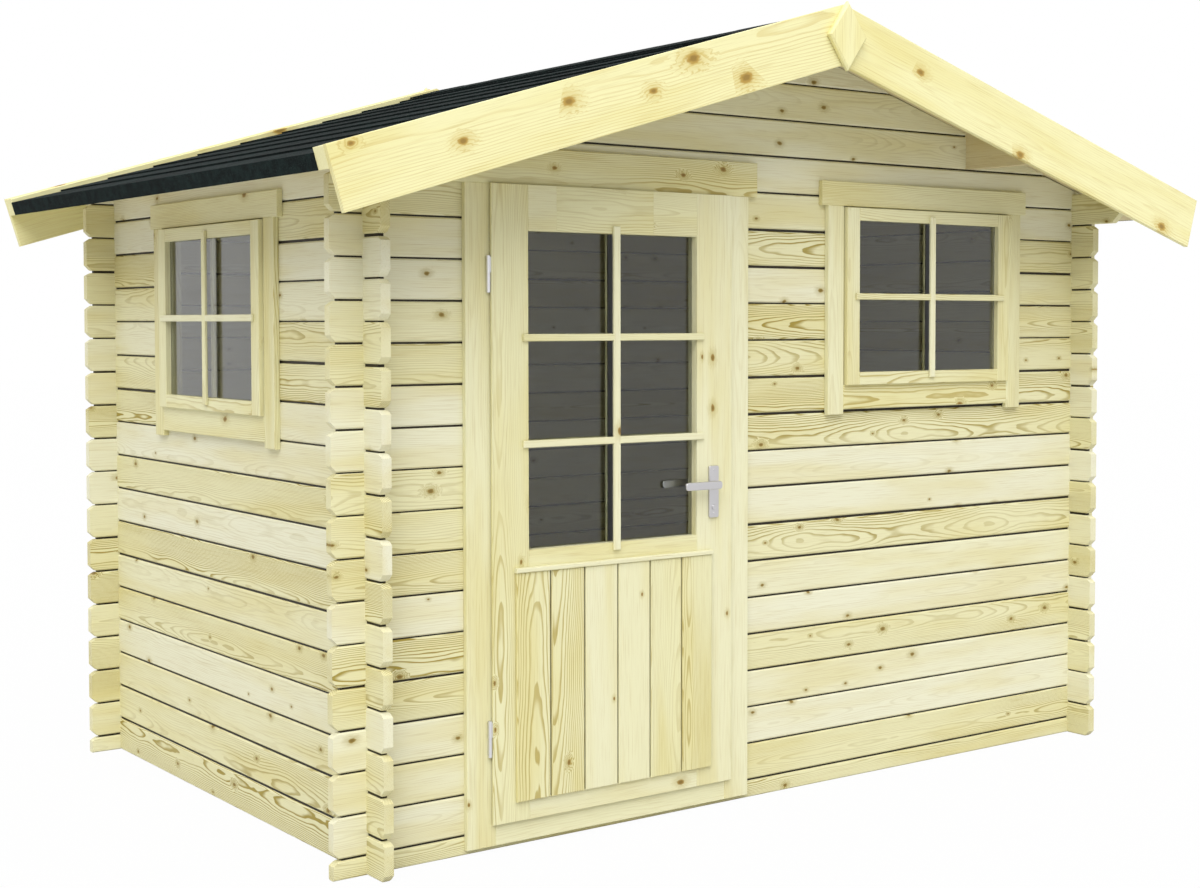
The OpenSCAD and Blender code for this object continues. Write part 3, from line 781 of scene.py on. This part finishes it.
pane_glass = bpy.data.materials.new("pane_glass")
pane_glass.use_nodes = True
skin = pane_glass.node_tree.nodes["Principled BSDF"]
skin.inputs["Base Color"].default_value = (0.8, 0.82, 0.81, 1)
skin.inputs["Transmission Weight"].default_value = 1
skin.inputs["IOR"].default_value = 1.45
tree = pane_glass.node_tree
ripple = new_node(tree, "TexNoise")
ripple.inputs["Scale"].default_value = 3
haze = new_node(tree, "MapRange", in_3=0.02, in_4=0.05)
link(tree, ripple.outputs["Fac"], haze.inputs[0])
link(tree, haze.outputs[0], skin.inputs["Roughness"])
for node in ("door_glass", "front_window_glass", "left_window_glass"):
    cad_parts[node].data.materials.clear()
    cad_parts[node].data.materials.append(pane_glass)

# ---- Windows
# A lining and trim boards as at the door, with a fixed sash screwed over the outer face of the wall.
# One bar up and one across stand on both faces of the pane.


lined_half, lining_in, sash_lap = 0.4, 0.04, 0.018
side_trim_w, head_over, sill_h, sash_gap = 0.066, 0.026, 0.075, 0.004
sash_stile, sash_rail, sash_t, pane_n = 0.053, 0.04, 0.031, 0.009


def window(name, plane, half, sash, casing, lined):
    """Both windows are drawn alike, round the middle of the sash, with heights above the ground."""
    z0, z1 = sash
    lining = Piece(name + "_lining")
    ring(lining, plane, (-lined_half, lined_half, *lined),
         (sash_lap - half, half - sash_lap, z0 + sash_lap, z1 - sash_lap), -lining_in, 0)
    lining.done(joinery, replaced=(name + "_frame",))
    trim = Piece(name + "_trim")
    inner, shoulder = half + sash_gap, z1 + sash_gap
    outer = inner + side_trim_w
    for side in (-1, 1):
        a, b = sorted((side * inner, side * outer))
        trim.bar(plane, a, b, casing[0], shoulder, 0, trim_t)
    trim.bar(plane, -outer - head_over, outer + head_over, shoulder, casing[1], 0, trim_t)
    trim.bar(plane, -inner, inner, z0 - sill_h, z0, 0, trim_t)
    trim.done(joinery, replaced=(name + "_casing",))
    lights = Piece(name + "_lights")
    pane = (sash_stile - half, half - sash_stile, z0 + sash_rail, z1 - sash_rail)
    ring(lights, plane, (-half, half, z0, z1), pane, 0, sash_t)
    lights.done(joinery, replaced=(name + "_sash",))
    glazing_bars(name + "_bars", plane, pane, 2, sash_t, pane_n, "house")


for name in ("front_window", "left_window"):
    low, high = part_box(name + "_sash")
    place = (low + high) / 2
    if name == "front_window":
        plane, half = facing((place.x, -half_d, 0), (1, 0, 0), (0, 0, 1)), (high.x - low.x) / 2
    else:
        plane, half = facing((-half_w, place.y, 0), (0, -1, 0), (0, 0, 1)), (high.y - low.y) / 2
    casing, lined = ([corner.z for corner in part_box(name + part)] for part in ("_casing", "_frame"))
    window(name, plane, half, (low.z, high.z), casing, lined)

# ---- Door fittings
# Satin aluminium plates on both faces carry a lever each on one spindle. Two lift-off hinges of zinc-plated
# steel stand at the joint between leaf and trim.


def metal(name, colour, roughness):
    paint = bpy.data.materials.new(name)
    paint.use_nodes = True
    tree = paint.node_tree
    skin = tree.nodes["Principled BSDF"]
    skin.inputs["Base Color"].default_value = (*colour, 1)
    skin.inputs["Metallic"].default_value = 1
    where = new_node(tree, "TexCoord").outputs["Object"]
    brushed = new_node(tree, "TexNoise")
    brushed.inputs["Scale"].default_value = 60
    brushed.inputs["Detail"].default_value = 3
    link(tree, where, brushed.inputs["Vector"])
    spread = new_node(tree, "MapRange", in_1=0.3, in_2=0.7, in_3=roughness - 0.05, in_4=roughness + 0.06)
    link(tree, brushed.outputs["Fac"], spread.inputs[0])
    link(tree, spread.outputs[0], skin.inputs["Roughness"])
    return paint


satin = metal("satin_silver", (0.60, 0.59, 0.60), 0.42)
zinc = metal("zinc_plate", (0.72, 0.72, 0.73), 0.42)
low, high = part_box("lock_plates")
plate_x = (low.x + high.x) / 2
plate_t = 0.008
screw_inset, screw_r = 0.012, 0.0035
cylinder_drop, cylinder_r, collar_r = 0.068, 0.0085, 0.0105
neck_r, spindle_r, play = 0.007, 0.005, 0.0005
lever_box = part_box("lever_handle")
lever_z = (lever_box[0].z + lever_box[1].z) / 2


def rounded(x0, x1, y0, y1, radius, steps=6):
    """A rectangle with round corners."""
    outline = []
    for cx, cy, start in ((x1 - radius, y0 + radius, 270), (x1 - radius, y1 - radius, 0),
                          (x0 + radius, y1 - radius, 90), (x0 + radius, y0 + radius, 180)):
        for i in range(steps + 1):
            angle = math.radians(start + 90 * i / steps)
            outline.append((cx + radius * math.cos(angle), cy + radius * math.sin(angle)))
    return outline


def disc(x, y, radius, sides=28):
    return [(x + radius * math.cos(2 * math.pi * i / sides), y + radius * math.sin(2 * math.pi * i / sides))
            for i in range(sides)]


plates = Piece("lock_backplates")
for near, far in ((face_n, face_n + plate_t), (back_n - plate_t, back_n)):
    plates.board(front_plane, rounded(low.x, high.x, low.z, high.z, 0.006), near, far, chamfer=0.0018, steps=3)
    outward = 1 if near > 0 else -1
    surface = far if outward > 0 else near
    for z in (low.z + screw_inset, high.z - screw_inset):
        a, b = sorted((surface - outward * 0.001, surface + outward * 0.0012))
        plates.board(front_plane, disc(plate_x, z, screw_r, 16), a, b, chamfer=0.0005)
    a, b = sorted((surface - outward * 0.001, surface + outward * 0.003))
    plates.board(front_plane, disc(plate_x, lever_z - cylinder_drop, cylinder_r), a, b, chamfer=0.0006)
    plates.board(front_plane, disc(plate_x, lever_z, collar_r), a, b, chamfer=0.001)
plates.done(satin, "door", replaced=("lock_plates",), smooth=True)

arm_t = 0.010
(left_end, out_y, arm_foot), (right_end, in_y, arm_top) = lever_box
levers = Piece("levers")
out_n, in_n = -half_d - out_y, -half_d - in_y
for near, far, neck_a, neck_b in ((out_n - arm_t, out_n, face_n + plate_t + play, out_n - arm_t / 2),
                                  (in_n, in_n + arm_t, in_n + arm_t / 2, back_n - plate_t - play)):
    levers.board(front_plane, rounded(left_end, right_end, arm_foot, arm_top, 0.0095, 8), near, far,
                 chamfer=0.0035, steps=4)
    levers.board(front_plane, disc(plate_x, lever_z, neck_r), neck_a, neck_b, chamfer=0.0005)
levers.board(front_plane, disc(plate_x, lever_z, spindle_r), in_n + arm_t, out_n - arm_t, chamfer=0)
levers.done(satin, "lever", replaced=("lever_handle",), smooth=True)

for node in ("hinge_knuckles_frame", "hinge_knuckles_door"):
    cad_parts[node].data.materials.clear()
    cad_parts[node].data.materials.append(zinc)
